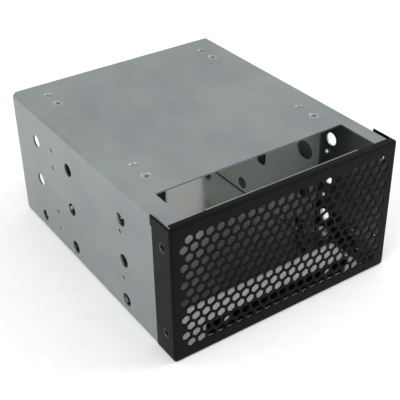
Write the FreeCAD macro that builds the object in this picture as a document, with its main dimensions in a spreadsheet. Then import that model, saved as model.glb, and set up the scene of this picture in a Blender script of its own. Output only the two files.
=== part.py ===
import FreeCAD, Part
import math
import os
import re

# Drive cage for three 3.5-inch drives in the height of two 5.25-inch bays.
# Millimetres. Origin at the middle of the underside, +Z up, +X to the right,
# the perforated front bezel faces -Y and the drives' connectors +Y.

doc = FreeCAD.newDocument("drive_cage")

# ---------------------------------------------------------------- dimensions

SHEET_NAME = "Dimensions"

DIMENSIONS = [
    # folded steel body
    ("body_depth", 180.0, "bezel face to rear edge"),
    ("body_width", 146.0, "across the side walls, 5.25-inch bay"),
    ("body_height", 83.0, "underside to top of the folded body, two bays"),
    ("body_sheet", 1.0, "zinc-plated sheet"),
    ("cover_bend", 3.5, "outside radius of the cover's long bends"),
    ("tab_bend", 1.6, "outside radius of the small bends"),
    ("lip_bend", 2.4, "outside radius of the fan lips' bends"),
    ("fit_gap", 0.05, "play between nested sheets and round fasteners"),
    # floor pan
    ("pan_flange", 14.0, "height of the floor's side flanges"),
    ("pan_flange_front", 18.5, "bezel face to the front end of the side flanges"),
    ("pan_rivet_height", 8.7, "side rivets above the underside"),
    ("pan_rivet_front", 25.3, "bezel face to the front side rivets"),
    ("pan_rivet_rear", 8.4, "rear edge to the rear side rivets"),
    ("pan_side_gap", 0.9, "floor edge to wall, ahead of the side flanges"),
    ("pan_relief", 1.6, "bend relief ahead of the side flanges, both ways"),
    ("floor_hole_x", 65.3, "cable-tie holes from the middle"),
    ("floor_hole_front", 43.0, "bezel face to the cable-tie holes"),
    ("floor_hole_diameter", 5.0, "cable-tie holes"),
    # fan chamber behind the bezel
    ("opening_front", 5.2, "bezel face to the top and floor openings"),
    ("opening_length", 27.4, "openings along the depth"),
    ("fan_depth", 25.0, "80 mm fan, from the lips to the openings' rear edge"),
    ("opening_width", 123.8, "openings across the cage"),
    ("lip_width", 99.0, "fan lips bent from the openings' front edges"),
    ("lip_height", 9.2, "fan lips, from the outside of their sheet"),
    ("fan_pitch", 71.5, "hole spacing of an 80 mm fan"),
    ("fan_hole_diameter", 4.5, "fan holes in the lips"),
    # 5.25-inch bay holes in the side walls
    ("bay_hole_diameter", 2.6, "M3 side holes, before their threads are formed"),
    ("bay_mouth_diameter", 3.3, "rounded mouth of the M3 side holes"),
    ("bay_collar_diameter", 4.4, "collar drawn inwards around the M3 side holes"),
    ("bay_collar_height", 0.8, "collar drawn inwards around the M3 side holes"),
    ("bay_hole_front", 52.35, "bezel face to the front column"),
    ("bay_hole_span", 79.25, "front to rear column"),
    ("bay_hole_low", 10.0, "lowest hole above the underside"),
    ("bay_hole_step", 11.84, "low to high hole of one bay"),
    ("bay_pitch", 43.0, "one bay to the next"),
    # 3.5-inch drive holes
    ("drive_width", 101.6, "3.5-inch drive"),
    ("drive_gap", 0.4, "drive side to bracket web"),
    ("drive_pitch", 27.0, "one drive to the next"),
    ("drive_hole_low", 8.0, "lowest drive hole above the underside"),
    ("drive_hole_rear", 28.5, "rear edge to the rear drive hole"),
    ("drive_hole_mid", 41.3, "rear drive hole to the middle one"),
    ("drive_hole_span", 101.6, "rear drive hole to the front one"),
    ("access_diameter", 8.2, "screwdriver holes in the side walls"),
    # drive brackets
    ("bracket_front", 38.0, "bezel face to the brackets' front edge"),
    ("bracket_rear", 8.5, "rear edge to the brackets' rear flange ends"),
    ("web_rear", 20.5, "rear edge to the brackets' rear flange; top and floor flanges run past it"),
    ("flange_relief", 1.5, "gap between the rear flange and its neighbours"),
    ("bracket_sheet", 1.0, "bracket sheet"),
    ("bracket_flange", 10.8, "width of the flanges, from the web's inner face"),
    ("front_slot_length", 13.6, "front drive slots, along the depth"),
    ("front_slot_height", 11.0, "front drive slots"),
    ("grommet_hole_diameter", 8.4, "middle and rear drive holes, for rubber grommets"),
    ("relief_slot_front", 90.6, "bezel face to the upright slots"),
    ("relief_slot_width", 9.2, "upright slots, along the depth"),
    ("relief_slot_length", 15.0, "upright slots"),
    ("relief_slot_height", 39.5, "middle of the upright slots above the underside"),
    # bracket screws and locating pips
    ("screw_x", 56.4, "bracket screws from the middle"),
    ("screw_rear", 29.2, "rear edge to the rear bracket screws"),
    ("screw_span", 101.6, "front to rear bracket screws"),
    ("screw_diameter", 3.0, "M3 countersunk"),
    ("screw_head_diameter", 6.0, "M3 countersunk head"),
    ("screw_sink", 0.2, "head below the sheet's face"),
    ("screw_length", 4.5, "overall"),
    ("recess_width", 3.2, "cross recess"),
    ("recess_bar", 0.7, "cross recess"),
    ("recess_depth", 0.9, "cross recess"),
    ("pip_offset", 13.0, "screw to locating pip"),
    ("pip_diameter", 5.8, "mouth of a locating pip's dish"),
    ("pip_rim", 0.5, "sloping rim of the dish"),
    ("pip_depth", 0.7, "dish of a locating pip"),
    # front bezel
    ("bezel_sheet", 0.8, "black painted sheet"),
    ("bezel_bend", 1.6, "outside radius of the bezel's folds"),
    ("bezel_side_flange", 17.0, "side flanges, over the walls"),
    ("bezel_edge_flange", 4.3, "top and bottom flanges"),
    ("corner_relief", 1.0, "top and bottom flanges, short of the walls"),
    ("corner_round", 2.0, "bezel corners"),
    ("catch_height", 6.2, "longer top end of the side flanges"),
    ("catch_length", 1.2, "longer top end of the side flanges"),
    ("hex_pitch", 6.3, "perforation, centre to centre"),
    ("hex_flats", 4.8, "perforation, across the flats"),
    ("hex_rows", 13, "rows, the first and last of the short kind"),
    ("hex_columns", 22, "holes in a long row"),
    # rivets
    ("bezel_rivet_front", 7.3, "bezel face to the bezel rivets"),
    ("bezel_rivet_low", 15.3, "lower bezel rivet above the underside"),
    ("bezel_rivet_span", 54.2, "lower to upper bezel rivet"),
    ("rivet_diameter", 4.5, "eyelet rivet barrel"),
    ("rivet_bore", 3.8, "eyelet rivet bore"),
    ("rivet_mouth", 4.8, "flared mouth of the eyelet rivet"),
    ("rivet_head_diameter", 5.8, "eyelet rivet head"),
    ("rivet_head_height", 0.3, "eyelet rivet head, over the bezel"),
    ("rivet_curl_diameter", 5.4, "eyelet rivet's inner curl"),
    ("pan_rivet_diameter", 3.0, "flush side rivets"),
    ("pan_rivet_head", 5.0, "inner head of the side rivets"),
    ("pan_rivet_head_height", 0.7, "inner head of the side rivets"),
]

dims = doc.addObject("Spreadsheet::Sheet", SHEET_NAME)
for row, (alias, value, note) in enumerate(DIMENSIONS, start=1):
    dims.set("A%d" % row, alias)
    dims.set("B%d" % row, str(value))
    dims.setAlias("B%d" % row, alias)
    dims.set("C%d" % row, note)
doc.recompute()

ALIASES = [alias for alias, value, note in DIMENSIONS]
ALIAS_PATTERN = re.compile(r"\b(" + "|".join(ALIASES) + r")\b")


def dim(alias):
    """Value of one cell of the sheet."""
    return float(dims.get(alias))


def bound(text):
    """Expression text with each alias written as a reference to the sheet."""
    return ALIAS_PATTERN.sub(lambda match: SHEET_NAME + "." + match.group(1), str(text))


# ------------------------------------------------------------------- frame

# The bezel's bottom flange wraps under the body, so the body starts one
# bezel sheet above the ground.
FACE = "(-body_depth / 2)"
REAR = "(body_depth / 2)"
BASE = "(bezel_sheet)"
TOP = "(bezel_sheet + body_height)"
WALL = "(body_width / 2)"
BODY_FRONT = "(-body_depth / 2 + bezel_sheet)"
WEB = "(drive_width / 2 + drive_gap)"
SIDES = (("left", -1), ("right", 1))

# Distances behind the bezel face of the two fan openings' edges.
OPENING_START = "(-body_depth / 2 + opening_front)"
OPENING_END = "(-body_depth / 2 + opening_front + opening_length)"
# The fan fits between the lips' rear faces and the opening's rear edge.
LIP_FRONT = "(-body_depth / 2 + opening_front + opening_length - fan_depth - body_sheet)"

DRIVE_COLUMNS = (
    "(body_depth / 2 - drive_hole_rear)",
    "(body_depth / 2 - drive_hole_rear - drive_hole_mid)",
    "(body_depth / 2 - drive_hole_rear - drive_hole_span)",
)
DRIVE_ROWS = ["(bezel_sheet + drive_hole_low + %d * drive_pitch)" % level for level in range(3)]
SCREW_COLUMNS = (
    "(body_depth / 2 - screw_rear)",
    "(body_depth / 2 - screw_rear - screw_span)",
)
BEZEL_RIVET_ROWS = (
    "(bezel_sheet + bezel_rivet_low)",
    "(bezel_sheet + bezel_rivet_low + bezel_rivet_span)",
)
PAN_RIVET_COLUMNS = (
    "(-body_depth / 2 + pan_rivet_front)",
    "(body_depth / 2 - pan_rivet_rear)",
)

AXIS_ROTATIONS = {
    "X": FreeCAD.Rotation(FreeCAD.Vector(0, 1, 0), 90),
    "Y": FreeCAD.Rotation(FreeCAD.Vector(1, 0, 0), -90),
    "Z": FreeCAD.Rotation(),
}


# ------------------------------------------------------------------ helpers

def bind(thing, **expressions):
    """Tie properties to the sheet; Placement_Base_x stands for Placement.Base.x."""
    for prop, text in expressions.items():
        thing.setExpression(prop.replace("_", "."), bound(text))


def place(thing, x, y, z):
    bind(thing, Placement_Base_x=x, Placement_Base_y=y, Placement_Base_z=z)


def block(name, x, y, z, length, width, height):
    """Box with its lowest corner at x, y, z."""
    box = doc.addObject("Part::Box", name)
    bind(box, Length=length, Width=width, Height=height)
    place(box, x, y, z)
    return box


def rod(name, axis, x, y, z, radius, height):
    """Cylinder that starts at x, y, z and runs along +axis."""
    cylinder = doc.addObject("Part::Cylinder", name)
    cylinder.Placement = FreeCAD.Placement(FreeCAD.Vector(), AXIS_ROTATIONS[axis])
    bind(cylinder, Radius=radius, Height=height)
    place(cylinder, x, y, z)
    return cylinder


def taper(name, x, y, z, low_radius, high_radius, height):
    """Upright cone frustum."""
    cone = doc.addObject("Part::Cone", name)
    bind(cone, Radius1=low_radius, Radius2=high_radius, Height=height)
    place(cone, x, y, z)
    return cone


def slot(name, x, y, z, depth_x, size_y, size_z):
    """Slot with round ends through a wall that faces X, centred on y, z."""
    radius = "min(%s; %s) / 2" % (size_y, size_z)
    half_y = "(%s) / 2 - %s" % (size_y, radius)
    half_z = "(%s) / 2 - %s" % (size_z, radius)
    pieces = [
        block(name + "_bar_y", x, "%s - (%s)" % (y, half_y), "%s - (%s) / 2" % (z, size_z),
              depth_x, "2 * (%s) + 0.001" % half_y, size_z),
        block(name + "_bar_z", x, "%s - (%s) / 2" % (y, size_y), "%s - (%s)" % (z, half_z),
              depth_x, size_y, "2 * (%s) + 0.001" % half_z),
    ]
    for end in (-1, 1):
        pieces.append(rod("%s_end_%d" % (name, end + 1), "X", x,
                          "%s + %d * (%s)" % (y, end, half_y),
                          "%s + %d * (%s)" % (z, end, half_z), radius, depth_x))
    return pieces


def fuse(name, pieces):
    joined = doc.addObject("Part::MultiFuse", name)
    joined.Shapes = pieces
    joined.Refine = True
    return joined


def cut(name, base, tools):
    """Base less all the tools."""
    carved = doc.addObject("Part::Cut", name)
    carved.Base = base
    carved.Tool = tools[0] if len(tools) == 1 else fuse(name + "_tools", tools)
    return carved


def rounded(name, base, radius, wanted):
    """Base with its straight edges that wanted(edge) picks rounded."""
    doc.recompute()
    fillet = doc.addObject("Part::Fillet", name)
    fillet.Base = base
    picked = [number for number, edge in enumerate(base.Shape.Edges, start=1) if wanted(edge)]
    fillet.Edges = [(number, radius, radius) for number in picked]
    return fillet


def runs_along(edge, axis):
    """True for a straight edge parallel to the axis."""
    if len(edge.Vertexes) != 2:
        return False
    run = edge.Vertexes[1].Point - edge.Vertexes[0].Point
    return abs(abs(run.dot(axis)) - run.Length) < 1e-6


def near(value, target):
    return abs(value - target) < 1e-6


AXIS_X = FreeCAD.Vector(1, 0, 0)
AXIS_Y = FreeCAD.Vector(0, 1, 0)
AXIS_Z = FreeCAD.Vector(0, 0, 1)

nodes = []


def finish(piece, label):
    piece.Label = label
    nodes.append(piece)


# ------------------------------------------- features shared by several sheets

def outward(side, distance, thickness):
    """Lowest x of a slab of the given thickness that ends at side * distance."""
    if side > 0:
        return "%s - (%s)" % (distance, thickness)
    return "-(%s)" % distance


def wall_bores(name, side, y, z, diameter):
    """Bore through the sheets near one side wall."""
    reach = "(4 * body_sheet + 2 * bezel_sheet)"
    return rod(name, "X", outward(side, "(%s + 2 * bezel_sheet)" % WALL, reach), y, z,
               "(%s) / 2" % diameter, reach)


def fan_lip(name, face_z, direction):
    """Lip bent from the front edge of an opening, with its two fan holes.

    face_z is the outside of its sheet; direction is +1 where the lip rises
    from the floor and -1 where it hangs from the top. The lip starts flush
    with the sheet, ahead of the opening's front edge.
    """
    root = "(%s - 1)" % OPENING_START
    low_z = face_z if direction > 0 else "%s - lip_height" % face_z
    inner_z = "(%s + body_sheet)" % face_z if direction > 0 else "(%s - lip_height - 1)" % face_z
    outer = block(name + "_outside", "-lip_width / 2", root, low_z,
                  "lip_width", "%s + body_sheet - %s" % (LIP_FRONT, root), "lip_height")
    inner = block(name + "_inside", "-lip_width / 2 - 1", "%s - 1" % root, inner_z,
                  "lip_width + 2", "%s - %s + 1" % (LIP_FRONT, root), "lip_height + 1 - body_sheet")
    doc.recompute()

    def bent(piece, radius, rear_y, face):
        return rounded(piece.Name + "_bend", piece, radius,
                       lambda edge: runs_along(edge, AXIS_X)
                       and near(edge.Vertexes[0].Z, face) and near(edge.Vertexes[0].Y, rear_y))

    boxes = outer.Shape.BoundBox, inner.Shape.BoundBox
    faces = [box.ZMin if direction > 0 else box.ZMax for box in boxes]
    outer = bent(outer, dim("lip_bend"), boxes[0].YMax, faces[0])
    inner = bent(inner, dim("lip_bend") - dim("body_sheet"), boxes[1].YMax, faces[1])
    middle = "(bezel_sheet + body_height / 2)"
    bores = [rod("%s_bore_%s" % (name, label), "Y", "%d * fan_pitch / 2" % side,
                 "%s - body_sheet" % LIP_FRONT,
                 "%s - %d * fan_pitch / 2" % (middle, direction),
                 "fan_hole_diameter / 2", "3 * body_sheet")
             for label, side in SIDES]
    return cut(name + "_sheet", outer, [inner]), bores


def opening(name, low_z):
    """Opening through the top or the floor for a fan."""
    return block(name, "-opening_width / 2", OPENING_START, low_z,
                 "opening_width", "opening_length", "3 * body_sheet")


def screw_sites():
    """Side name, side and rear or front place of each bracket screw."""
    for label, side in SIDES:
        for place_name, y in zip(("rear", "front"), SCREW_COLUMNS):
            yield label, side, place_name, y


HEAD_DEPTH = "((screw_head_diameter - screw_diameter) / 2)"


def screw_path(name, x, y, face_z, direction, clearance, sink):
    """Countersunk head and shank whose head ends sink below face_z.

    direction is -1 where the screw goes down from the top and +1 where it
    goes up from the floor. With a clearance it is the hole of the screw,
    and its cone carries on to the sheet's face.
    """
    shank = "(screw_diameter / 2 + %s)" % clearance
    head = "(screw_head_diameter / 2 + %s + screw_sink - %s)" % (clearance, sink)
    head_depth = "(%s + screw_sink - %s)" % (HEAD_DEPTH, sink)
    if direction < 0:
        cone = taper(name + "_head", x, y, "%s - %s - %s" % (face_z, sink, head_depth),
                     shank, head, head_depth)
        body = rod(name + "_shank", "Z", x, y, "%s - screw_sink - screw_length" % face_z,
                   shank, "screw_length")
    else:
        cone = taper(name + "_head", x, y, "%s + %s" % (face_z, sink), head, shank, head_depth)
        body = rod(name + "_shank", "Z", x, y, "%s + screw_sink" % face_z, shank, "screw_length")
    return [cone, body]


def screw_hole(name, x, y, face_z, direction):
    return screw_path(name, x, y, face_z, direction, "fit_gap", "0")


PIP_SEAT_RADIUS = "(pip_diameter / 2 - pip_rim + body_sheet / 2)"


def pip(name, x, y, face_z, direction):
    """Boss and dish of a locating pip pressed out of a sheet."""
    boss_low = {-1: "%s - body_sheet - pip_depth", 1: "%s + body_sheet - 0.01"}[direction] % face_z
    boss = rod(name + "_boss", "Z", x, y, boss_low, PIP_SEAT_RADIUS, "pip_depth + 0.01")
    floor_radius, mouth_radius = "(pip_diameter / 2 - pip_rim)", "(pip_diameter / 2)"
    if direction < 0:
        rim = taper(name + "_rim", x, y, "%s - pip_rim" % face_z, floor_radius, mouth_radius, "pip_rim")
        well = rod(name + "_well", "Z", x, y, "%s - pip_depth" % face_z, floor_radius, "pip_depth")
    else:
        rim = taper(name + "_rim", x, y, face_z, mouth_radius, floor_radius, "pip_rim")
        well = rod(name + "_well", "Z", x, y, face_z, floor_radius, "pip_depth")
    return boss, [rim, well]


def bay_hole(name, side, y, z):
    """Collar and bore of an M3 hole drawn into the side wall."""
    inside = "(%s - body_sheet)" % WALL
    collar = rod(name + "_collar", "X", outward(side, inside, "bay_collar_height"), y, z,
                 "bay_collar_diameter / 2", "bay_collar_height")
    bore = wall_bores(name + "_bore", side, y, z, "bay_hole_diameter")
    mouth_depth = "((bay_mouth_diameter - bay_hole_diameter) / 2)"
    radii = ("bay_hole_diameter / 2", "bay_mouth_diameter / 2")
    mouth = doc.addObject("Part::Cone", name + "_mouth")
    mouth.Placement = FreeCAD.Placement(FreeCAD.Vector(), AXIS_ROTATIONS["X"])
    bind(mouth, Radius1=radii[0] if side > 0 else radii[1],
         Radius2=radii[1] if side > 0 else radii[0], Height=mouth_depth)
    place(mouth, outward(side, WALL, mouth_depth), y, z)
    return collar, [bore, mouth]


# ------------------------------------------------------------- outer cover

def long_bends(edge, outside_z, half_width):
    if not runs_along(edge, AXIS_Y):
        return False
    point = edge.Vertexes[0].Point
    return near(point.z, outside_z) and near(abs(point.x), half_width)


def make_outer_cover():
    """Top and both side walls, folded from one sheet."""
    shell = block("cover_outside", "-%s" % WALL, BODY_FRONT, BASE,
                  "body_width", "body_depth - bezel_sheet", "body_height")
    top = dim("bezel_sheet") + dim("body_height")
    half = dim("body_width") / 2
    shell = rounded("cover_outside_bends", shell, dim("cover_bend"),
                    lambda edge: long_bends(edge, top, half))
    hollow = block("cover_inside", "-%s + body_sheet" % WALL, "%s - 1" % BODY_FRONT, "%s - 1" % BASE,
                   "body_width - 2 * body_sheet", "body_depth + 2", "body_height + 1 - body_sheet")
    hollow = rounded("cover_inside_bends", hollow, max(dim("cover_bend") - dim("body_sheet"), 0.1),
                     lambda edge: long_bends(edge, top - dim("body_sheet"), half - dim("body_sheet")))
    plate, lip_bores = fan_lip("top_lip", TOP, -1)
    bosses = []
    tools = list(lip_bores)
    for label, side, place_name, y in screw_sites():
        x = "%d * screw_x" % side
        site = "top_%s_%s" % (place_name, label)
        tools += screw_hole(site + "_hole", x, y, TOP, -1)
        boss, dish = pip(site + "_pip", x, "%s + pip_offset" % y, TOP, -1)
        bosses.append(boss)
        tools += dish
    for label, side in SIDES:
        for column, y in enumerate(DRIVE_COLUMNS):
            for level, z in enumerate(DRIVE_ROWS):
                tools.append(wall_bores("access_%s_%d_%d" % (label, column, level), side, y, z,
                                        "access_diameter"))
        for column in range(2):
            for bay in range(2):
                for step in range(2):
                    # The outer holes of the front column would run into the
                    # screwdriver holes, so that column has only the inner two.
                    if column == 0 and bay == step:
                        continue
                    y = "-body_depth / 2 + bay_hole_front + %d * bay_hole_span" % column
                    z = "bezel_sheet + bay_hole_low + %d * bay_pitch + %d * bay_hole_step" % (bay, step)
                    collar, hole = bay_hole("bay_%s_%d_%d_%d" % (label, column, bay, step), side, y, z)
                    bosses.append(collar)
                    tools += hole
        for number, z in enumerate(BEZEL_RIVET_ROWS):
            tools.append(wall_bores("cover_bezel_rivet_%s_%d" % (label, number), side,
                                    "%s + bezel_rivet_front" % FACE, z, "rivet_diameter + 2 * fit_gap"))
        for number, y in enumerate(PAN_RIVET_COLUMNS):
            tools.append(wall_bores("cover_pan_rivet_%s_%d" % (label, number), side, y,
                                    "bezel_sheet + pan_rivet_height",
                                    "pan_rivet_diameter + 2 * fit_gap"))
    folded = cut("cover_folded", shell, [hollow, opening("top_opening", "%s - 2 * body_sheet" % TOP)])
    finish(cut("outer_cover", fuse("cover_with_lip", [folded, plate] + bosses), tools), "outer_cover")


# --------------------------------------------------------------- floor pan

PAN_HALF = "(body_width / 2 - body_sheet - fit_gap)"


def make_floor_pan():
    """Floor with its side flanges inside the walls, the fan opening and lip."""
    plate = block("pan_plate", "-%s" % PAN_HALF, BODY_FRONT, BASE,
                  "2 * %s" % PAN_HALF, "body_depth - bezel_sheet", "body_sheet")
    parts = [plate]
    tools = []
    for label, side in SIDES:
        parts.append(block("pan_flange_%s" % label, outward(side, PAN_HALF, "body_sheet"),
                           "%s + pan_flange_front" % FACE, BASE,
                           "body_sheet", "body_depth - pan_flange_front", "pan_flange"))
        for number, y in enumerate(PAN_RIVET_COLUMNS):
            tools.append(wall_bores("pan_rivet_hole_%s_%d" % (label, number), side, y,
                                    "bezel_sheet + pan_rivet_height",
                                    "pan_rivet_diameter + 2 * fit_gap"))
        # The screwdriver holes and the lowest bay holes carry on through the flanges.
        for column, y in enumerate(DRIVE_COLUMNS):
            tools.append(wall_bores("pan_access_%s_%d" % (label, column), side, y, DRIVE_ROWS[0],
                                    "access_diameter"))
        # The lowest rear bay hole's collar passes through the flange.
        tools.append(wall_bores("pan_bay_%s" % label, side,
                                "-body_depth / 2 + bay_hole_front + bay_hole_span",
                                "bezel_sheet + bay_hole_low", "bay_collar_diameter + 4 * fit_gap"))
        # Ahead of the flange the floor's edge stands clear of the wall.
        tools.append(block("pan_side_trim_%s" % label,
                           outward(side, "(%s + 1)" % PAN_HALF, "(pan_side_gap + 1)"),
                           "%s - 1" % BODY_FRONT, "%s - 1" % BASE,
                           "pan_side_gap + 1", "pan_flange_front - bezel_sheet + 1", "body_sheet + 2"))
        tools.append(block("pan_bend_relief_%s" % label,
                           outward(side, "(%s + 1)" % PAN_HALF, "(2 * pan_relief + 1)"),
                           "%s + pan_flange_front - pan_relief" % FACE, "%s - 1" % BASE,
                           "2 * pan_relief + 1", "pan_relief", "body_sheet + 2"))
        tools.append(rod("cable_tie_hole_%s" % label, "Z", "%d * floor_hole_x" % side,
                         "%s + floor_hole_front" % FACE, "%s - body_sheet" % BASE,
                         "floor_hole_diameter / 2", "3 * body_sheet"))
    lip, lip_bores = fan_lip("floor_lip", BASE, 1)
    tools += lip_bores
    bosses = []
    for label, side, place_name, y in screw_sites():
        x = "%d * screw_x" % side
        site = "floor_%s_%s" % (place_name, label)
        tools += screw_hole(site + "_hole", x, y, BASE, 1)
        boss, dish = pip(site + "_pip", x, "%s + pip_offset" % y, BASE, 1)
        bosses.append(boss)
        tools += dish
    folded = cut("pan_folded", fuse("pan_sheet", parts),
                 [opening("floor_opening", "%s - body_sheet" % BASE)])
    finish(cut("floor_pan", fuse("pan_with_lip", [folded, lip] + bosses), tools), "floor_pan")


# ---------------------------------------------------------- drive brackets

def make_drive_bracket(label, side):
    """C-shaped bracket whose web carries the drives and whose flanges turn outwards."""
    outer = "(%s + bracket_flange)" % WEB
    height = "(body_height - 2 * body_sheet)"
    length = "(body_depth - bracket_front - bracket_rear)"
    front = "(%s + bracket_front)" % FACE
    body = block("%s_bracket_block" % label, outward(side, outer, "bracket_flange"), front,
                 "%s + body_sheet" % BASE, "bracket_flange", length, height)
    doc.recompute()
    web_x = side * (dim("drive_width") / 2 + dim("drive_gap"))
    body = rounded("%s_bracket_bends" % label, body, dim("tab_bend"),
                   lambda edge: runs_along(edge, AXIS_Y) and near(edge.Vertexes[0].X, web_x))
    channel = block("%s_bracket_channel" % label,
                    outward(side, "(%s + 1)" % outer, "(bracket_flange - bracket_sheet + 1)"),
                    "%s - 1" % front, "%s + body_sheet + bracket_sheet" % BASE,
                    "bracket_flange - bracket_sheet + 1", "%s + 2" % length,
                    "%s - 2 * bracket_sheet" % height)
    body = cut("%s_bracket_folded" % label, body, [channel])
    reach = "(bracket_sheet + 2)"
    reach_x = outward(side, "(%s + bracket_sheet + 1)" % WEB, reach)
    web_end = block("%s_bracket_web_end" % label, reach_x, "%s - web_rear" % REAR,
                    "%s + body_sheet + bracket_sheet" % BASE, reach, "web_rear",
                    "%s - 2 * bracket_sheet" % height)
    body = cut("%s_bracket_tongues" % label, body, [web_end])
    rear_flange = block("%s_bracket_rear_flange" % label, outward(side, outer, "bracket_flange"),
                        "%s - web_rear - bracket_sheet" % REAR,
                        "%s + body_sheet + bracket_sheet" % BASE, "bracket_flange", "bracket_sheet",
                        "%s - 2 * bracket_sheet" % height)
    body = fuse("%s_bracket_closed" % label, [body, rear_flange])
    reliefs = [block("%s_bracket_relief_%s" % (label, end),
                     outward(side, "(%s + 1)" % outer, "(bracket_flange + 2)"),
                     "%s - web_rear - bracket_sheet - flange_relief" % REAR, z,
                     "bracket_flange + 2", "bracket_sheet + flange_relief + 1", "flange_relief")
               for end, z in (("low", "%s + body_sheet + bracket_sheet" % BASE),
                              ("high", "%s - body_sheet - bracket_sheet - flange_relief" % TOP))]
    body = cut("%s_bracket_relieved" % label, body, reliefs)
    doc.recompute()
    rear_y = dim("body_depth") / 2 - dim("web_rear")
    body = rounded("%s_bracket_rear_bend" % label, body, dim("tab_bend"),
                   lambda edge: runs_along(edge, AXIS_Z) and near(edge.Vertexes[0].X, web_x)
                   and near(edge.Vertexes[0].Y, rear_y))
    tools = []
    for level, z in enumerate(DRIVE_ROWS):
        tools += slot("%s_front_slot_%d" % (label, level), reach_x, DRIVE_COLUMNS[2], z, reach,
                      "front_slot_length", "front_slot_height")
        for column, y in enumerate(DRIVE_COLUMNS[:2]):
            tools.append(rod("drive_hole_%s_%d_%d" % (label, column, level), "X", reach_x, y, z,
                             "grommet_hole_diameter / 2", reach))
    tools += slot("%s_relief_slot" % label, reach_x, "%s + relief_slot_front" % FACE,
                  "bezel_sheet + relief_slot_height", reach, "relief_slot_width", "relief_slot_length")
    for screw_label, screw_side, place_name, y in screw_sites():
        if screw_side != side:
            continue
        x = "%d * screw_x" % side
        for face, face_z, direction in (("top", TOP, -1), ("floor", BASE, 1)):
            site = "%s_bracket_%s_%s" % (label, face, place_name)
            tools += screw_hole(site + "_screw", x, y, face_z, direction)
            tools.append(rod(site + "_pip_seat", "Z", x, "%s + pip_offset" % y,
                             "%s - 2 * body_sheet - bracket_sheet" % face_z if direction < 0 else face_z,
                             "%s + fit_gap" % PIP_SEAT_RADIUS,
                             "2 * body_sheet + bracket_sheet"))
    finish(cut("%s_drive_bracket" % label, body, tools), "%s_drive_bracket" % label)


# ------------------------------------------------------------ front bezel

def hexagon(centre_x, centre_z, across_flats, face_y):
    """Wire of an upright hexagon, two of its flats upright."""
    corner = across_flats / math.sqrt(3)
    points = []
    for step in range(7):
        angle = math.radians(90 + 60 * step)
        points.append(FreeCAD.Vector(centre_x + corner * math.cos(angle), face_y,
                                     centre_z + corner * math.sin(angle)))
    return Part.makePolygon(points)


def perforation():
    """Hexagonal prisms on a staggered lattice, short and long rows by turns."""
    pitch = dim("hex_pitch")
    rows = int(dim("hex_rows"))
    columns = int(dim("hex_columns"))
    row_step = pitch * math.sqrt(3) / 2
    middle = dim("bezel_sheet") + dim("body_height") / 2
    face_y = -dim("body_depth") / 2 - 1
    run = FreeCAD.Vector(0, dim("bezel_sheet") + 2, 0)
    prisms = []
    for row in range(rows):
        count = columns if row % 2 else columns - 1
        z = middle + row_step * ((rows - 1) / 2 - row)
        for column in range(count):
            x = pitch * (column - (count - 1) / 2)
            outline = hexagon(x, z, dim("hex_flats"), face_y)
            prisms.append(Part.Face(outline).extrude(run))
    return Part.makeCompound(prisms)


def make_front_bezel():
    """Black pan whose perforated face closes the front and whose flanges wrap the body."""
    half = "(body_width / 2 + bezel_sheet)"
    depth = "(bezel_side_flange + catch_length)"
    pan = block("bezel_block", "-%s" % half, FACE, 0, "2 * %s" % half, depth,
                "body_height + 2 * bezel_sheet")
    doc.recompute()
    face_y = -dim("body_depth") / 2
    pan = rounded("bezel_corners", pan, dim("corner_round"), lambda edge: runs_along(edge, AXIS_Y))
    doc.recompute()
    pan = rounded("bezel_folds", pan, dim("bezel_bend"),
                  lambda edge: near(edge.Vertexes[0].Y, face_y) and near(edge.Vertexes[-1].Y, face_y))
    tools = [block("bezel_hollow", "-%s" % WALL, "%s + bezel_sheet" % FACE, BASE,
                   "body_width", "%s + 1" % depth, "body_height")]
    # The top and bottom flanges are shorter than the side flanges and stop
    # short of the corners.
    trim_y = "(%s + bezel_edge_flange)" % FACE
    for name, z in (("top", "%s" % TOP), ("bottom", "-1")):
        tools.append(block("bezel_trim_" + name, "-%s" % WALL, trim_y, z,
                           "body_width", "%s" % depth, "bezel_sheet + 1"))
        for label, side in SIDES:
            tools.append(block("bezel_relief_%s_%s" % (name, label),
                               outward(side, "(%s + bezel_sheet + 1)" % WALL,
                                       "(corner_relief + bezel_sheet + 1)"),
                               "%s + bezel_bend" % FACE, z,
                               "corner_relief + bezel_sheet + 1", depth, "bezel_sheet + 1"))
    for label, side in SIDES:
        # The side flanges are no taller than the body that they cover.
        for name, z in (("top", TOP), ("bottom", "-1")):
            tools.append(block("bezel_flange_trim_%s_%s" % (name, label),
                               outward(side, "(%s + 1)" % half, "(bezel_sheet + 2)"),
                               "%s + bezel_bend" % FACE, z,
                               "bezel_sheet + 2", depth, "bezel_sheet + 1"))
        # Only the top end of each side flange is longer, as a catch.
        tools.append(block("bezel_catch_trim_%s" % label,
                           outward(side, "(%s + 1)" % half, "(bezel_sheet + 2)"),
                           "%s + bezel_side_flange" % FACE, "-1",
                           "bezel_sheet + 2", "catch_length + 1",
                           "%s - catch_height + 1" % TOP))
        for number, z in enumerate(BEZEL_RIVET_ROWS):
            tools.append(wall_bores("bezel_rivet_hole_%s_%d" % (label, number), side,
                                    "%s + bezel_rivet_front" % FACE, z, "rivet_diameter + 2 * fit_gap"))
    holes = doc.addObject("Part::Feature", "perforation")
    holes.Shape = perforation()
    holes.Placement = FreeCAD.Placement()
    solid = cut("bezel_pan", pan, tools)
    bezel = doc.addObject("Part::Cut", "front_bezel")
    bezel.Base = solid
    bezel.Tool = holes
    finish(bezel, "front_bezel")


# ---------------------------------------------------------------- fasteners

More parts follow.
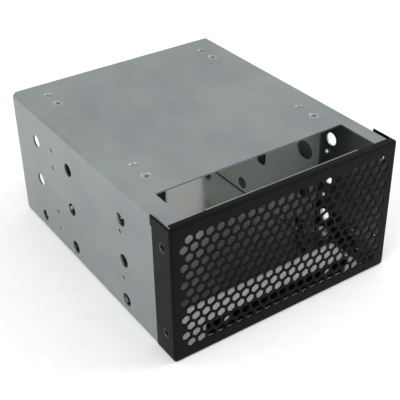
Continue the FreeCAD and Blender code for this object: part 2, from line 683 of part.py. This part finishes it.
def make_bezel_rivets(label, side):
    """Flared eyelet rivets that join a side flange of the bezel to the wall."""
    grip = "(bezel_sheet + body_sheet)"
    outside = "(%s + bezel_sheet)" % WALL
    inside = "(%s - body_sheet)" % WALL
    y = "(%s + bezel_rivet_front)" % FACE
    mouth_depth = "((rivet_mouth - rivet_bore) / 2)"
    crown = "(%s + rivet_head_height)" % outside
    rivets = []
    for number, z in enumerate(BEZEL_RIVET_ROWS):
        site = "bezel_rivet_%s_%d" % (label, number)
        barrel = rod(site + "_barrel", "X", outward(side, outside, grip), y, z,
                     "rivet_diameter / 2", grip)
        head = rod(site + "_head", "X", outward(side, crown, "rivet_head_height"),
                   y, z, "rivet_head_diameter / 2", "rivet_head_height")
        doc.recompute()
        crown_x = side * (dim("body_width") / 2 + dim("bezel_sheet") + dim("rivet_head_height"))
        head = rounded(site + "_crown", head, 0.8 * dim("rivet_head_height"),
                       lambda edge: len(edge.Vertexes) == 1 and near(edge.Vertexes[0].X, crown_x))
        curl = rod(site + "_curl", "X", outward(side, inside, "rivet_head_height"), y, z,
                   "rivet_curl_diameter / 2", "rivet_head_height")
        bore_length = "(%s + 4 * rivet_head_height)" % grip
        bore = rod(site + "_bore", "X", outward(side, "(%s + rivet_head_height)" % crown, bore_length),
                   y, z, "rivet_bore / 2", bore_length)
        mouth = doc.addObject("Part::Cone", site + "_mouth")
        mouth.Placement = FreeCAD.Placement(FreeCAD.Vector(), AXIS_ROTATIONS["X"])
        radii = ["rivet_bore / 2", "rivet_mouth / 2"][::side]
        bind(mouth, Radius1=radii[0], Radius2=radii[1], Height=mouth_depth)
        place(mouth, outward(side, crown, mouth_depth), y, z)
        rivets.append(cut(site, fuse(site + "_solid", [barrel, head, curl]), [bore, mouth]))
    group = doc.addObject("Part::Compound", "bezel_rivets_" + label)
    group.Links = rivets
    finish(group, "bezel_rivets_" + label)


def make_side_rivets(label, side):
    """Flush rivets that join the floor's side flange to the wall."""
    grip = "(2 * body_sheet + fit_gap)"
    inside = "(%s - %s)" % (WALL, grip)
    z = "(bezel_sheet + pan_rivet_height)"
    rivets = []
    for number, y in enumerate(PAN_RIVET_COLUMNS):
        site = "side_rivet_%s_%d" % (label, number)
        shank = rod(site + "_shank", "X", outward(side, WALL, grip), y, z,
                    "pan_rivet_diameter / 2", grip)
        head = rod(site + "_head", "X", outward(side, inside, "pan_rivet_head_height"), y, z,
                   "pan_rivet_head / 2", "pan_rivet_head_height")
        rivets.append(fuse(site, [shank, head]))
    group = doc.addObject("Part::Compound", "side_rivets_" + label)
    group.Links = rivets
    finish(group, "side_rivets_" + label)


def make_bracket_screws(face, label, face_z, direction):
    """Countersunk cross-recess screws from the top or the floor into a bracket."""
    screws = []
    for screw_label, side, place_name, y in screw_sites():
        if screw_label != label:
            continue
        site = "%s_screw_%s_%s" % (face, label, place_name)
        x = "%d * screw_x" % side
        blank = fuse(site + "_blank", screw_path(site, x, y, face_z, direction, "0", "screw_sink"))
        recess_z = ("%s - screw_sink - recess_depth" if direction < 0 else "%s + screw_sink - 1") % face_z
        tools = []
        for bar, (size_x, size_y) in enumerate((("recess_width", "recess_bar"),
                                                  ("recess_bar", "recess_width"))):
            tools.append(block("%s_recess_%d" % (site, bar), "%s - %s / 2" % (x, size_x),
                               "%s - %s / 2" % (y, size_y), recess_z,
                               size_x, size_y, "recess_depth + 1"))
        screws.append(cut(site, blank, tools))
    group = doc.addObject("Part::Compound", "%s_screws_%s" % (face, label))
    group.Links = screws
    finish(group, "%s_screws_%s" % (face, label))


# -------------------------------------------------------------------- build

make_outer_cover()
make_floor_pan()
make_front_bezel()
for side_label, side_sign in SIDES:
    make_drive_bracket(side_label, side_sign)
    make_bezel_rivets(side_label, side_sign)
    make_side_rivets(side_label, side_sign)
    make_bracket_screws("top", side_label, TOP, -1)
    make_bracket_screws("floor", side_label, BASE, 1)
doc.recompute()

failed = [thing.Name for thing in doc.Objects
          if "Invalid" in thing.State or "Error" in thing.State]
if failed:
    raise RuntimeError("objects that did not recompute: " + ", ".join(failed))
for node in nodes:
    if node.Shape.isNull() or not node.Shape.isValid() or not node.Shape.Solids:
        raise RuntimeError("bad shape: " + node.Label)

os.makedirs("parts", exist_ok=True)
for node in nodes:
    node.Shape.exportStep("parts/%s.step" % node.Label)
    box = node.Shape.BoundBox
    print("%-22s solids %2d volume %9.1f  x %7.2f %7.2f  y %7.2f %7.2f  z %6.2f %6.2f" % (
        node.Label, len(node.Shape.Solids), node.Shape.Volume,
        box.XMin, box.XMax, box.YMin, box.YMax, box.ZMin, box.ZMax))
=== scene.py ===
import math

import bpy
from mathutils import Matrix, Vector


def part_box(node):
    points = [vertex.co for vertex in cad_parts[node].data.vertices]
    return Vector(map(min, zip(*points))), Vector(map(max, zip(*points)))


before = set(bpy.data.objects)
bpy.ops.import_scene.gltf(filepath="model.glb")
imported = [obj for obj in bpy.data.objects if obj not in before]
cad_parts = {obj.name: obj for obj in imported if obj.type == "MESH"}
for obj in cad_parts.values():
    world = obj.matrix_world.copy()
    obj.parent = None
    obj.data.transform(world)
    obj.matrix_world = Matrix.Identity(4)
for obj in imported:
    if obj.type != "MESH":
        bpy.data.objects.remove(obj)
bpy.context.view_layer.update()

MM = 0.001

# Camera: angles in degrees, distances in millimetres from the foot of the
# bezel's middle, measured back, right and up as the camera looks.
CAMERA_AZIMUTH = -33.692
CAMERA_ELEVATION = 33.303
CAMERA_ROLL = -1.0817
CAMERA_BACK = 483.52
CAMERA_RIGHT = -48.119
CAMERA_UP = 60.809
CAMERA_LENS = 77.956
CAMERA_SENSOR = 36.0

# Stage: metres, watts for the softboxes, plain strengths for the room light.
FLOOR_HALF = 6.0
SOFTBOX_SIDE = 1.5
SOFTBOX_FRONT = -0.5
SOFTBOX_HEIGHT = 1.3
SOFTBOX_SIZE = 1.0
LIT_POINT = (0, 0, 0.04)
LEFT_POWER = 15
RIGHT_POWER = 14
WALL_GLOW = 0.6
CEILING_GLOW = 0.95
# Sine of the elevation from which the room is as bright as its ceiling.
CEILING_FROM = 0.4


# ------------------------------------------------------------------ colours

def linear(hex_colour):
    """Linear RGBA of an sRGB hex colour."""
    channels = [int(hex_colour[place:place + 2], 16) / 255 for place in (1, 3, 5)]
    return [c / 12.92 if c <= 0.04045 else ((c + 0.055) / 1.055) ** 2.4 for c in channels] + [1.0]


# ---------------------------------------------------------------- materials

def add(shading, kind, settings=None, stops=None, **links):
    """A node of a material or world, with its settings, two colour stops and links.

    Settings are named for their inputs or properties. Links are named for
    inputs, with _ for a space. Where inputs share a name, input_0, input_1
    and so on name one by its place.
    """
    node = shading.node_tree.nodes.new(kind)
    for name, value in (settings or {}).items():
        if name in node.inputs:
            node.inputs[name].default_value = value
        elif name.startswith("input_"):
            node.inputs[int(name[6:])].default_value = value
        else:
            setattr(node, name, value)
    for name, source in links.items():
        if name.startswith("input_"):
            target = node.inputs[int(name[6:])]
        else:
            target = node.inputs[name.replace("_", " ")]
        shading.node_tree.links.new(source, target)
    if stops:
        for element, (place, colour) in zip(node.color_ramp.elements, stops.items()):
            element.position = place
            element.color = linear(colour)
    return node


def blank(name):
    """A named material without nodes."""
    material = bpy.data.materials.new(name)
    material.use_nodes = True
    material.node_tree.nodes.clear()
    return material


def per_mm(*sizes):
    """Mapping scale that makes one unit as long as each size in millimetres."""
    return [1 / (size * MM) for size in sizes]


def edge_mask(material, surface, width_mm):
    """Socket that is 1 along sharp edges, over the width, and 0 on open sheet.

    Near an edge the rounded normal turns away from the flat surface's own.
    """
    softened = add(material, "ShaderNodeBevel", {"samples": 6, "Radius": width_mm * MM})
    facing = add(material, "ShaderNodeVectorMath", {"operation": "DOT_PRODUCT"},
                 input_0=softened.outputs["Normal"], input_1=surface.outputs["Normal"])
    mask = add(material, "ShaderNodeMapRange",
               {"From Min": 0.75, "From Max": 0.99, "To Min": 1.0, "To Max": 0.0},
               Value=facing.outputs["Value"])
    return mask.outputs["Result"]


def galvanised_sheet(name, dark, pale, smooth, rough):
    """Zinc-plated steel sheet, rolled and folded.

    Satin grey metal: cloudy patches some centimetres wide, faint rolling
    lines along the depth and bright sheared edges.
    """
    sheet = blank(name)
    surface = add(sheet, "ShaderNodeNewGeometry")
    place = surface.outputs["Position"]
    patches = add(sheet, "ShaderNodeMapping", {"Scale": per_mm(34, 46, 34)}, Vector=place)
    cloud = add(sheet, "ShaderNodeTexNoise", {"Scale": 1.0, "Detail": 3.0, "Roughness": 0.55},
                Vector=patches.outputs["Vector"]).outputs["Fac"]
    # Real rolling lines are finer than a tenth of a millimetre; they are drawn
    # 1.2 mm apart so that they show.
    lines = add(sheet, "ShaderNodeMapping", {"Scale": per_mm(1.2, 60, 1.2)}, Vector=place)
    rolled = add(sheet, "ShaderNodeTexNoise", {"Scale": 1.0, "Detail": 2.0, "Roughness": 0.5},
                 Vector=lines.outputs["Vector"]).outputs["Fac"]
    # The zinc's grain is near 0.1 mm; it is drawn at 0.8 mm so that it shows.
    grains = add(sheet, "ShaderNodeMapping", {"Scale": per_mm(0.8, 0.8, 0.8)}, Vector=place)
    grit = add(sheet, "ShaderNodeTexNoise", {"Scale": 1.0, "Detail": 2.0, "Roughness": 0.6},
               Vector=grains.outputs["Vector"]).outputs["Fac"]
    tone = add(sheet, "ShaderNodeMath", {"operation": "MULTIPLY_ADD", "input_1": 0.25},
               input_0=rolled, input_2=cloud)
    zinc = add(sheet, "ShaderNodeValToRGB", stops={0.35: dark, 0.85: pale},
               Fac=tone.outputs["Value"])
    # Shears leave bare bright steel along each edge.
    colour = add(sheet, "ShaderNodeMix", {"data_type": "RGBA", "input_7": linear("#C9CDCB")},
                 input_0=edge_mask(sheet, surface, 0.35), input_6=zinc.outputs["Color"])
    satin = add(sheet, "ShaderNodeMapRange",
                {"From Min": 0.3, "From Max": 0.7, "To Min": smooth, "To Max": rough}, Value=cloud)
    bump = add(sheet, "ShaderNodeBump", {"Strength": 0.10, "Distance": 0.02 * MM}, Height=grit)
    metal = add(sheet, "ShaderNodeBsdfPrincipled", {"Metallic": 1.0},
                Base_Color=colour.outputs[2], Roughness=satin.outputs["Result"],
                Normal=bump.outputs["Normal"])
    add(sheet, "ShaderNodeOutputMaterial", Surface=metal.outputs["BSDF"])
    return sheet


def powder_coat():
    """Black polyester powder coat on steel.

    Near-black satin paint with a fine orange-peel skin that spreads the
    highlights, and slightly greyer edges: a painted highlight on rims and bends.
    """
    coat = blank("black_powder_coat")
    surface = add(coat, "ShaderNodeNewGeometry")
    place = surface.outputs["Position"]
    patches = add(coat, "ShaderNodeMapping", {"Scale": per_mm(22, 22, 22)}, Vector=place)
    patch = add(coat, "ShaderNodeTexNoise", {"Scale": 1.0, "Detail": 2.0, "Roughness": 0.5},
                Vector=patches.outputs["Vector"]).outputs["Fac"]
    # The real skin's grain is near 0.3 mm; it is drawn at 0.6 mm so that it shows.
    grains = add(coat, "ShaderNodeMapping", {"Scale": per_mm(0.6, 0.6, 0.6)}, Vector=place)
    peel = add(coat, "ShaderNodeTexNoise", {"Scale": 1.0, "Detail": 2.0, "Roughness": 0.5},
               Vector=grains.outputs["Vector"]).outputs["Fac"]
    black = add(coat, "ShaderNodeValToRGB", stops={0.35: "#060607", 0.70: "#0A0A0B"}, Fac=patch)
    # Painted highlight: the edges are mixed greyer, standing in for light caught on the rims and
    # bends.
    colour = add(coat, "ShaderNodeMix", {"data_type": "RGBA", "input_7": linear("#151517")},
                 input_0=edge_mask(coat, surface, 0.3), input_6=black.outputs["Color"])
    satin = add(coat, "ShaderNodeMapRange",
                {"From Min": 0.3, "From Max": 0.7, "To Min": 0.36, "To Max": 0.46}, Value=patch)
    bump = add(coat, "ShaderNodeBump", {"Strength": 0.25, "Distance": 0.02 * MM}, Height=peel)
    paint = add(coat, "ShaderNodeBsdfPrincipled",
                {"Metallic": 0.0, "IOR": 1.5, "Specular IOR Level": 0.07},
                Base_Color=colour.outputs[2], Roughness=satin.outputs["Result"],
                Normal=bump.outputs["Normal"])
    add(coat, "ShaderNodeOutputMaterial", Surface=paint.outputs["BSDF"])
    return coat


def plated_fastener(name, dark, pale, smooth, rough):
    """Pressed and plated steel: small bright highlights, duller patches from the plating bath."""
    plating = blank(name)
    surface = add(plating, "ShaderNodeNewGeometry")
    spots = add(plating, "ShaderNodeMapping", {"Scale": per_mm(1.5, 1.5, 1.5)},
                Vector=surface.outputs["Position"])
    patch = add(plating, "ShaderNodeTexNoise", {"Scale": 1.0, "Detail": 3.0, "Roughness": 0.6},
                Vector=spots.outputs["Vector"]).outputs["Fac"]
    plate = add(plating, "ShaderNodeValToRGB", stops={0.30: dark, 0.75: pale}, Fac=patch)
    # Handling rubs the edges bright.
    colour = add(plating, "ShaderNodeMix", {"data_type": "RGBA", "input_7": linear("#D2D4D3")},
                 input_0=edge_mask(plating, surface, 0.2), input_6=plate.outputs["Color"])
    satin = add(plating, "ShaderNodeMapRange",
                {"From Min": 0.3, "From Max": 0.7, "To Min": smooth, "To Max": rough}, Value=patch)
    bump = add(plating, "ShaderNodeBump", {"Strength": 0.2, "Distance": 0.02 * MM}, Height=patch)
    metal = add(plating, "ShaderNodeBsdfPrincipled", {"Metallic": 1.0},
                Base_Color=colour.outputs[2], Roughness=satin.outputs["Result"],
                Normal=bump.outputs["Normal"])
    add(plating, "ShaderNodeOutputMaterial", Surface=metal.outputs["BSDF"])
    return plating


def studio_paper():
    """Matt white paper sweep: bright and even, its fibres too fine to stand out."""
    paper = blank("white_studio_paper")
    surface = add(paper, "ShaderNodeNewGeometry")
    fibres = add(paper, "ShaderNodeMapping", {"Scale": per_mm(9, 9, 9)},
                 Vector=surface.outputs["Position"])
    fibre = add(paper, "ShaderNodeTexNoise", {"Scale": 1.0, "Detail": 2.0},
                Vector=fibres.outputs["Vector"])
    colour = add(paper, "ShaderNodeValToRGB", stops={0.3: "#F4F4F4", 0.7: "#F7F7F7"},
                 Fac=fibre.outputs["Fac"])
    matt = add(paper, "ShaderNodeBsdfPrincipled", {"Roughness": 0.9},
               Base_Color=colour.outputs["Color"])
    add(paper, "ShaderNodeOutputMaterial", Surface=matt.outputs["BSDF"])
    return paper


COVER_SHEET = galvanised_sheet("zinc_plated_cover_sheet", "#898F90", "#9BA2A2", 0.42, 0.52)
FLOOR_SHEET = galvanised_sheet("zinc_plated_floor_sheet", "#898B88", "#9A9C98", 0.17, 0.23)
# Painted light: the brackets are the same zinc-plated steel as the cover, with their tones set
# lighter so that they show brighter inside the shaded cage.
LIGHTENED_BRACKET_SHEET = galvanised_sheet("zinc_plated_bracket_sheet_painted_light", "#9FA4A1", "#B1B6B3", 0.20, 0.28)
COAT = powder_coat()
RIVET = plated_fastener("blackened_tubular_rivet", "#2C2C2E", "#444446", 0.34, 0.48)
SCREW = plated_fastener("zinc_plated_screw", "#8F9492", "#B4B8B6", 0.28, 0.42)

FINISHES = {
    "outer_cover": COVER_SHEET,
    "floor_pan": FLOOR_SHEET,
    "left_drive_bracket": LIGHTENED_BRACKET_SHEET,
    "right_drive_bracket": LIGHTENED_BRACKET_SHEET,
    "front_bezel": COAT,
    "bezel_rivets_left": RIVET,
    "bezel_rivets_right": RIVET,
    "side_rivets_left": COVER_SHEET,
    "side_rivets_right": COVER_SHEET,
    "top_screws_left": SCREW,
    "top_screws_right": SCREW,
    "floor_screws_left": SCREW,
    "floor_screws_right": SCREW,
}

for node_name, finish in FINISHES.items():
    for material_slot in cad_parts[node_name].material_slots:
        material_slot.material = finish


# -------------------------------------------------------------------- stage

def studio_floor():
    """Large flat sweep just under the object."""
    corners = [(x * FLOOR_HALF, y * FLOOR_HALF, 0) for x, y in ((-1, -1), (1, -1), (1, 1), (-1, 1))]
    mesh = bpy.data.meshes.new("studio_floor")
    mesh.from_pydata(corners, [], [(0, 1, 2, 3)])
    floor = bpy.data.objects.new("studio_floor", mesh)
    floor.data.materials.append(studio_paper())
    bpy.context.scene.collection.objects.link(floor)


def softbox(name, side, power):
    """Square softbox to one side of the cage and in front of it, aimed at its middle."""
    data = bpy.data.lights.new(name, "AREA")
    data.shape = "SQUARE"
    data.size = SOFTBOX_SIZE
    data.energy = power
    lamp = bpy.data.objects.new(name, data)
    lamp.location = (side * SOFTBOX_SIDE, SOFTBOX_FRONT, SOFTBOX_HEIGHT)
    aim = Vector(LIT_POINT) - lamp.location
    lamp.rotation_euler = aim.to_track_quat("-Z", "Y").to_euler()
    bpy.context.scene.collection.objects.link(lamp)


def studio_dome():
    """Even white room light, dimmer toward the studio's walls than overhead."""
    world = bpy.data.worlds.new("studio_dome")
    world.use_nodes = True
    world.node_tree.nodes.clear()
    ray = add(world, "ShaderNodeTexCoord").outputs["Generated"]
    height = add(world, "ShaderNodeSeparateXYZ", Vector=ray).outputs["Z"]
    light = add(world, "ShaderNodeMapRange",
                {"From Min": 0.0, "From Max": CEILING_FROM,
                 "To Min": WALL_GLOW, "To Max": CEILING_GLOW}, Value=height)
    glow = add(world, "ShaderNodeBackground", {"Color": (1, 1, 1, 1)},
               Strength=light.outputs["Result"])
    add(world, "ShaderNodeOutputWorld", Surface=glow.outputs["Background"])
    bpy.context.scene.world = world


def studio_camera():
    """Camera above the front left corner of the cage."""
    azimuth, elevation, roll = (
        math.radians(angle) for angle in (CAMERA_AZIMUTH, CAMERA_ELEVATION, CAMERA_ROLL))
    back = Vector((math.sin(azimuth) * math.cos(elevation),
                   -math.cos(azimuth) * math.cos(elevation), math.sin(elevation)))
    level_right = Vector((0, 0, 1)).cross(back).normalized()
    level_up = back.cross(level_right)
    right = math.cos(roll) * level_right + math.sin(roll) * level_up
    up = math.cos(roll) * level_up - math.sin(roll) * level_right
    foot = Vector((0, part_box("front_bezel")[0].y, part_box("outer_cover")[0].z))
    place = foot + (back * CAMERA_BACK + right * CAMERA_RIGHT + up * CAMERA_UP) * MM
    data = bpy.data.cameras.new("studio_camera")
    data.sensor_width = CAMERA_SENSOR
    data.lens = CAMERA_LENS
    data.clip_start = 0.01
    data.clip_end = 50.0
    camera = bpy.data.objects.new("studio_camera", data)
    camera.matrix_world = Matrix((
        (right.x, up.x, back.x, place.x),
        (right.y, up.y, back.y, place.y),
        (right.z, up.z, back.z, place.z),
        (0, 0, 0, 1)))
    bpy.context.scene.collection.objects.link(camera)
    bpy.context.scene.camera = camera


studio_floor()
bpy.context.scene.view_settings.view_transform = "Standard"
studio_dome()
softbox("left_softbox", -1, LEFT_POWER)
softbox("right_softbox", 1, RIGHT_POWER)
studio_camera()
